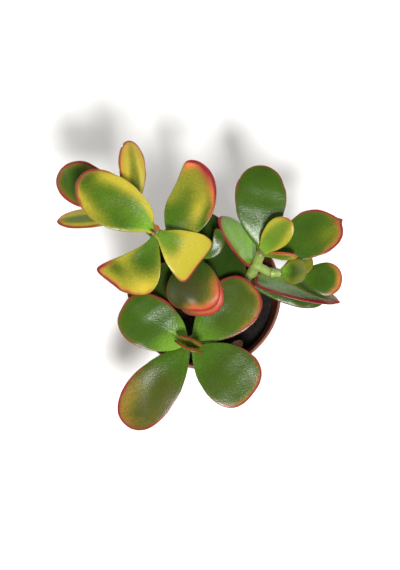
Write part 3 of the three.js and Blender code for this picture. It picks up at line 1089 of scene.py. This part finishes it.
class JadePlant:
    """All the shoots and their leaves, and the shed leaf on the soil."""

    def __init__(self, shoots: list[Shoot], shed: Leaf, shed_base: Point) -> None:
        """Keeps the shoots and prepares one skin for each kind of leaf."""
        self.shoots = shoots
        self.shed = shed
        self.shed_base = np.array(shed_base)
        self.skins = {
            Slot.GREEN: JadeSkin("jade leaf, waxy green cuticle"),
            # the dark leaves are partly an older, browner green of their own and partly painted shade: the
            # middle shoot's leaves sit low, in the shade of the others
            Slot.DARK: JadeSkin(
                "jade leaf, old dark cuticle", flesh="#2a4012", shade="#1e330d", pale="#415e24",
                blush="#b74b32", bronze="#342e10", roughness=0.36, gloss=0.06,
            ),
            Slot.GOLD: JadeSkin("jade leaf, gold-sectored cuticle", flesh="#5a7320", shade="#4a641b"),
            Slot.RED: JadeSkin(
                "jade bud, red scale cuticle", flesh="#b87a2c", shade="#9a642a", pale="#b89a3a", rim="#8c4a26"
            ),
        }

    def build_stems(self) -> None:
        """Builds each rooted stem, joined with its side shoots into one skin, and dresses it."""
        bark = FleshyBark().material()
        for shoot in (s for s in self.shoots if not s.joins):
            stem = shoot.build_stem()
            parts = [shoot] + [s for s in self.shoots if s.joins == shoot.name]
            for side in parts[1:]:
                branch = side.build_stem()
                apply_modifier(stem, "BOOLEAN", operation="UNION", object=branch, solver="EXACT")
                bpy.data.objects.remove(branch, do_unlink=True)
            self.weather(stem, parts)
            stem.data.shade_smooth()
            stem.data.materials.append(bark)
            settle(stem, [f"{shoot.name}_stem"])

    @staticmethod
    def weather(stem: bpy.types.Object, parts: list[Shoot]) -> None:
        """Stores the skin's age and its scar rings on a stem's vertices, and makes its bark uneven."""
        points = coordinates(stem.data) / MM
        best = np.full(len(points), np.inf)
        age = np.zeros(len(points))
        ring = np.zeros(len(points))
        outward = np.zeros_like(points)
        for part in parts:
            run = np.linspace(0, part.axis.length, 160)
            line = part.axis.at(run)
            gap = points[:, None, :] - line[None, :, :]
            distance = np.linalg.norm(gap, axis=2)
            near = distance.argmin(axis=1)
            rows = np.arange(len(points))
            closer = distance[rows, near] < best
            best = np.where(closer, distance[rows, near], best)
            here = run[near]
            old = 1 - here / part.axis.length if not part.joins else np.full(len(points), 0.15)
            marks = sum(np.exp(-(((here - r) / 0.45) ** 2)) for r in part.rings())
            age = np.where(closer, old, age)
            ring = np.where(closer, np.clip(0.75 * marks, 0, 1), ring)
            outward = np.where(closer[:, None], gap[rows, near], outward)
        outward /= np.maximum(np.linalg.norm(outward, axis=1, keepdims=True), 1e-6)
        rough = wobble(points, 5.0, 77) * 0.1 + wobble(points, 2.0, 78) * 0.05
        move_vertices(stem.data, (points + outward * (rough * (0.4 + age))[:, None]) * MM)
        add_values(stem.data, "age", age)
        add_values(stem.data, "ring", ring)

    def build_leaves(self) -> None:
        """Presses and dresses every leaf of every shoot."""
        blank = LeafBlank()
        materials = {slot: skin.material() for slot, skin in self.skins.items()}
        for order, shoot in enumerate(self.shoots):
            for i, leaf in enumerate(shoot.leaves, start=1):
                node = f"{shoot.name}_leaf_{i}"
                root = YOUNG_CLASP if leaf.young else CLASP
                blade = blank.press(leaf, shoot.leaf_base(leaf), f"{node}_blade", 100 * order + 10 * i, root)
                blade.data.materials.append(materials[leaf.slot])
                settle(blade, [node])
        scrap = blank.press(self.shed, self.shed_base, "shed_leaf_blade", 900, SHED_CLASP)
        scrap.data.materials.append(DryLeafSkin().material())
        settle(scrap, ["fallen_leaf"])
        blank.remove()


def jade_shoots() -> list[Shoot]:
    """The plant's four rooted cuttings and the two side shoots, with every leaf on them."""
    left = Shoot(
        "left",
        [(-9, 14, 54), (-12, 18, 78), (-19, 24.5, 102), (-27.5, 27.5, 124)],
        (4.0, 2.4),
        [
            Leaf(147.5, 20, -24, 48, 28, belly=0.56, skew=0.14, look=Look(
                gold=0.85, core=0.72, reach=1.3, rim=Band(0.9, 1.4, 0.72), blush=Band(0.5, 4, 0.8), pale=0.75,
                patches=(
                    Patch("gold", 0.95, -0.7, 0.12, 0.4, -0.8), Patch("gold", 0.4, 0.8, 0.3, 0.35, -0.5),
                    Patch("pale", 0.5, 0, 0.35, 0.8, 0.15), Patch("gold", 0.5, 0, 0.4, 0.8, 0.12),
                ),
            )),
            Leaf(-35, 6, -46, 28, 28.5, blunt=0.16, belly=0.82, slot=Slot.GOLD, look=Look(
                gold=0.85, core=0.9, reach=0.5, rim=Band(1, 1.3, 0.8, -0.35), blush=Band(0.7, 4, 0.85, -0.4),
            )),
            Leaf(231, -2, -34, 36.5, 33, down=6, blunt=0.42, skew=0.3, belly=0.75, lean=-0.17, look=Look(
                gold=0.7, core=1.0, reach=0.6, rim=Band(1, 2, 0.72, -0.2), blush=Band(0.8, 5, 0.8),
                patches=(
                    Patch("gold", 0.72, -0.5, 0.1, 0.5, -0.5), Patch("gold", 0.75, 0.75, 0.25, 0.4, 0.3),
                ),
            )),
            Leaf(
                27, 32, -32, 47, 26.5, down=11, sweep=96, roll=-10, blunt=0.62, belly=0.46, lean=-0.06,
                look=Look(
                    gold=0.5, core=0.95, reach=0.6, shift=0.2, rim=Band(0.9, 1.4, 0.5, -0.5),
                    blush=Band(0.95, 5, 0.5, -0.7),
                    patches=(
                        Patch("rim", 0.82, -0.8, 0.16, 0.3, 0.9), Patch("gold", 0.42, -0.95, 0.12, 0.3, -0.9),
                        Patch("blush", 1, 0, 0.1, 1, 0.5), Patch("gold", 0.4, -0.3, 0.2, 0.4, 0.45),
                    ),
                ),
            ),
            Leaf(240, 78, 0, 6, 4, young=1, thickness=1.6, slot=Slot.RED, look=Look(rim=Band(0.5, 1.2, 0.1))),
            Leaf(60, 78, 0, 6, 4, young=1, thickness=1.6, slot=Slot.RED, look=Look(rim=Band(0.5, 1.2, 0.1))),
        ],
    )
    left_side = Shoot(
        "left_side",
        [(-17, 22, 96), (-26, 27, 99), (-35, 35, 103), (-42, 42, 107)],
        (2.6, 2.2),
        [
            Leaf(151, 12, -20, 41, 25, look=Look(rim=Band(0.9, 1.5, 0.2), blush=Band(0.35, 4), pale=0.35)),
            Leaf(88, 34, -22, 38.5, 20, down=2, sweep=12, roll=45, notch=1.5, cup=0.06, look=Look(
                gold=0.75, core=0.5, reach=0.95, rim=Band(0.85, 1.1, 0.2), blush=Band(0.5, 5, 0.5),
                patches=(Patch("gold", 0.4, 0, 0.4, 0.8, 0.4),),
            )),
            Leaf(184, 8, -8, 41, 18, down=4, roll=42, blunt=0.6, slot=Slot.GOLD, look=Look(
                gold=0.9, core=0.5, reach=1.2, shift=0.1, rim=Band(0.9, 1.2, 0.4, 0.3),
                blush=Band(0.7, 4, 0.7),
            )),
        ],
        joins="left",
    )
    middle = Shoot(
        "middle",
        [(0, 6, 54), (-1, 8, 76), (-3, 14, 94), (-4.7, 17.4, 107)],
        (3.8, 2.4),
        [
            Leaf(264.5, 12, -32, 29, 30, blunt=0.36, slot=Slot.DARK, look=Look(
                rim=Band(0.8, 1.2, 0.35, 0.35), blush=Band(1, 5.5, 0.4, 0.9), bronze=0.7, pale=0.1,
                patches=(Patch("gold", 0.6, 0.6, 0.35, 0.4, 0.2),),
            )),
            Leaf(273, 8, -28, 29, 26, down=7, blunt=0.36, slot=Slot.DARK, look=Look(
                rim=Band(0.7, 1.2, 0.3), blush=Band(1, 5, 0.4, 0.5), bronze=0.4,
            )),
            Leaf(206, 4, -26, 43, 22, down=12, slot=Slot.DARK, look=Look(
                rim=Band(0.4, 1.2, 0.3), bronze=0.2, pale=0.1,
            )),
            Leaf(80, 6, -30, 25, 22, down=5, slot=Slot.DARK, look=Look(rim=Band(0.3, 1.2, 0.3), pale=0.1)),
            Leaf(14, 2, -24, 23, 28, down=16, blunt=0.4, slot=Slot.DARK, look=Look(
                rim=Band(0.2, 1.2, 0.3), pale=0,
            )),
            Leaf(-15, 14, 0, 22, 7, young=2.4, sweep=145, roll=10, thickness=2.2, look=Look(
                rim=Band(0.15, 1.2, 0.3), pale=0.4,
            )),
            Leaf(112, 34, 0, 15, 8, young=1.5, roll=30, thickness=2.2, look=Look(
                rim=Band(0.1, 1.2, 0.3), pale=0.9,
            )),
        ],
    )
    front = Shoot(
        "front",
        [(-8, -28, 54), (-8, -29, 76), (-8.4, -31, 87), (-8.7, -32.5, 96)],
        (4.0, 2.6),
        [
            Leaf(152, 22, -20, 41, 30, blunt=0.38, cup=0.14, look=Look(
                rim=Band(0.9, 1.1, 0.35, -0.3), blush=Band(0.12, 3), pale=0.85,
            )),
            Leaf(322, 10, -18, 42, 34, blunt=0.4, belly=0.65, look=Look(
                rim=Band(0.95, 1.2, 0.62, 0.1), blush=Band(0.45, 4, 0.8), bronze=0.2, pale=0.25,
            )),
            Leaf(42, 15, -10, 46, 31, down=5, blunt=0.42, belly=0.65, look=Look(
                rim=Band(0.9, 1.2, 0.35), blush=Band(0.5, 4, 0.55, -0.5), bronze=0.35, pale=0.35,
                patches=(Patch("gold", 0.7, -0.6, 0.25, 0.4, 0.12),),
            )),
            Leaf(231.5, 6, -22, 56, 28.5, down=5, belly=0.62, blunt=0.45, look=Look(
                rim=Band(1, 1.3, 0.55, -0.1), blush=Band(0.35, 9, 0.62, -0.5), bronze=0.85, pale=0.15,
                patches=(Patch("gold", 0.72, -0.55, 0.25, 0.4, 0.3),),
            )),
            Leaf(247, 84, -4, 16, 17, young=1, thickness=2.4, slot=Slot.GOLD, look=Look(
                gold=0.75, core=0.3, rim=Band(0.95, 0.9, 0.1), pale=1,
            )),
            Leaf(67, 84, 10, 16, 16, young=1, thickness=2.4, slot=Slot.GOLD, look=Look(
                gold=0.75, core=0.3, rim=Band(0.95, 0.9, 0.1), pale=1,
            )),
        ],
    )
    right = Shoot(
        "right",
        [(12, 2, 54), (19, 4.5, 72), (26.5, 9.5, 86), (31.5, 19, 105)],
        (4.6, 2.8),
        [
            Leaf(91, 20, -16, 45.5, 28.5, belly=0.6, look=Look(rim=Band(0.6, 0.8, 0.5), pale=0.15)),
            Leaf(130, 36, -24, 32, 26, down=12, roll=50, belly=0.38, look=Look(
                rim=Band(1, 1.5, -0.1, 0.5), blush=Band(0.6, 2.6, 0.1, 0.6), pale=1,
                patches=(Patch("pale", 0.5, 0, 0.6, 1.2, 1),),
            )),
            Leaf(16, 13, -14, 44.5, 26.5, sweep=12, blunt=0.6, skew=0.16, point=1.6, look=Look(
                rim=Band(1, 1.2, 0.5), blush=Band(0.6, 4.5, 0.65, -0.5), pale=0.1,
                patches=(Patch("gold", 0.82, -0.35, 0.22, 0.45, 0.32), Patch("rim", 1, 0, 0.07, 1, 0.8)),
            )),
            Leaf(342, 13, -4, 49.5, 29, down=24, roll=-52, belly=0.3, point=1.2, look=Look(
                rim=Band(1, 2.6, -0.2, -0.6), blush=Band(0.3, 3), pale=0.7,
                patches=(Patch("pale", 0.5, 0, 0.4, 1, 0.4),),
            )),
            Leaf(346, 1, -10, 44, 14, down=31, look=Look(rim=Band(0.2, 1.2, 0.3), pale=0.1)),
            Leaf(44, 57, -34, 26, 15, young=3, thickness=2.6, slot=Slot.GOLD, look=Look(
                gold=0.7, core=0.75, reach=1.1, rim=Band(0.5, 1.2, 0.8, 0.4), blush=Band(0.5, 2, 0.85),
                pale=0.9,
            )),
            Leaf(341, 54, -22, 22, 8, sweep=14, roll=72, thickness=2.4, slot=Slot.GOLD, look=Look(
                gold=0.6, core=0.7, reach=1, rim=Band(0.7, 1.2, 0.4, 0.6), blush=Band(0.9, 2.4, 0.4, 0.8),
                pale=0.7,
            )),
        ],
    )
    right_side = Shoot(
        "right_side",
        [(28.5, 13.5, 96), (33, 11, 96.5), (37.5, 8.5, 97.5), (43.5, 8, 99)],
        (2.6, 2.2),
        [
            Leaf(352, 11, -12, 23, 18.5, look=Look(
                rim=Band(0.7, 1.2, 0.7), blush=Band(0.85, 5, 0.75), pale=0.15,
            )),
            Leaf(336, 4, 0, 26, 10, down=6, roll=-50, thickness=2.6, look=Look(
                rim=Band(0.5, 1.2, 0.3, 0.4), pale=0.2,
            )),
            Leaf(356, 50, -12, 16.5, 14, young=2.4, thickness=2.2, cup=0.3, look=Look(
                gold=0.35, core=0.7, reach=0.9, rim=Band(0.1, 1.2, 0.3), pale=1,
            )),
            Leaf(24, 22, -20, 18, 12, young=0.4, thickness=2, look=Look(
                gold=0.4, core=0.3, reach=0.8, rim=Band(0.1, 1.2, 0.3), pale=1,
            )),
        ],
        joins="right",
    )
    return [left, left_side, middle, front, right, right_side]


# ---- the studio ----
@dataclass
class Studio:
    """A plain pale floor, a soft sky, one large soft key light, and the camera high over the plant."""

    floor_size: float = 6.0
    aim: Point = (-3.0, 3.4, 84.0)
    elevation: float = 82.0
    distance: float = 600.0
    lens: float = 64.93
    sky: float = 0.24

    def build_floor(self) -> None:
        """Lays the paper under the pot."""
        deselect_all()
        bpy.ops.mesh.primitive_plane_add(size=self.floor_size)
        floor = bpy.context.object
        floor.name = "studio_floor"
        floor.data.materials.append(StudioPaper().material())

    def build_lights(self) -> None:
        """Hangs the key light and two low fills, and sets the sky's even glow."""
        self.hang("key_softbox", (0.14, -0.53, 1.15), 0.26, 22.0)
        self.hang("left_softbox", (-1.5, 0.5, 0.9), 1.4, 14.0)
        self.hang("right_softbox", (1.4, 1.0, 0.9), 1.4, 12.0)
        world = bpy.data.worlds.new("studio_sky")
        world.use_nodes = True
        glow = world.node_tree.nodes["Background"].inputs
        glow["Color"].default_value = linear("#ffffff")
        glow["Strength"].default_value = self.sky
        bpy.context.scene.world = world

    @staticmethod
    def hang(name: str, place: Point, size: float, power: float) -> None:
        """Hangs one square area light that faces the plant.

        Args:
            name: The light's name.
            place: Where it hangs, in metres.
            size: Its side, in metres.
            power: Its power in watts.
        """
        lamp = bpy.data.lights.new(name, "AREA")
        lamp.shape = "SQUARE"
        lamp.size = size
        lamp.energy = power
        light = new_object(name, lamp)
        light.location = place
        towards = Vector((0.0, 0.0, 0.1)) - Vector(place)
        light.rotation_euler = towards.to_track_quat("-Z", "Y").to_euler()

    def place_camera(self) -> None:
        """Sets the camera on its high viewpoint, aimed at the middle of the leaves."""
        lens = bpy.data.cameras.new("studio_camera")
        lens.lens = self.lens
        lens.sensor_width = 36.0
        lens.clip_start = 0.02
        camera = new_object("studio_camera", lens)
        angle = math.radians(self.elevation)
        back = Vector((0.0, -math.cos(angle), math.sin(angle)))
        camera.location = (Vector(self.aim) + back * self.distance) * MM
        camera.rotation_euler = (-back).to_track_quat("-Z", "Y").to_euler()
        bpy.context.scene.camera = camera
        bpy.context.scene.view_settings.view_transform = "Standard"


def main() -> None:
    """Builds the studio, the pot, the potting mix and the plant, in that order."""
    logging.basicConfig(level=logging.INFO, format="%(name)s: %(message)s")
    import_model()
    studio = Studio()
    studio.place_camera()
    studio.build_lights()
    studio.build_floor()
    pot = NurseryPot()
    pot.dress(pot.build())
    soil = PottingSoil()
    soil.dress(soil.build(), soil.scatter())
    shed = Leaf(40, -4, 12, 16, 6, thickness=1.6, cup=0.3, slot=Slot.WITHERED)
    plant = JadePlant(jade_shoots(), shed, (10.0, -38.2, 67.2))
    plant.build_stems()
    plant.build_leaves()
    deselect_all()


if __name__ == "__main__":
    main()
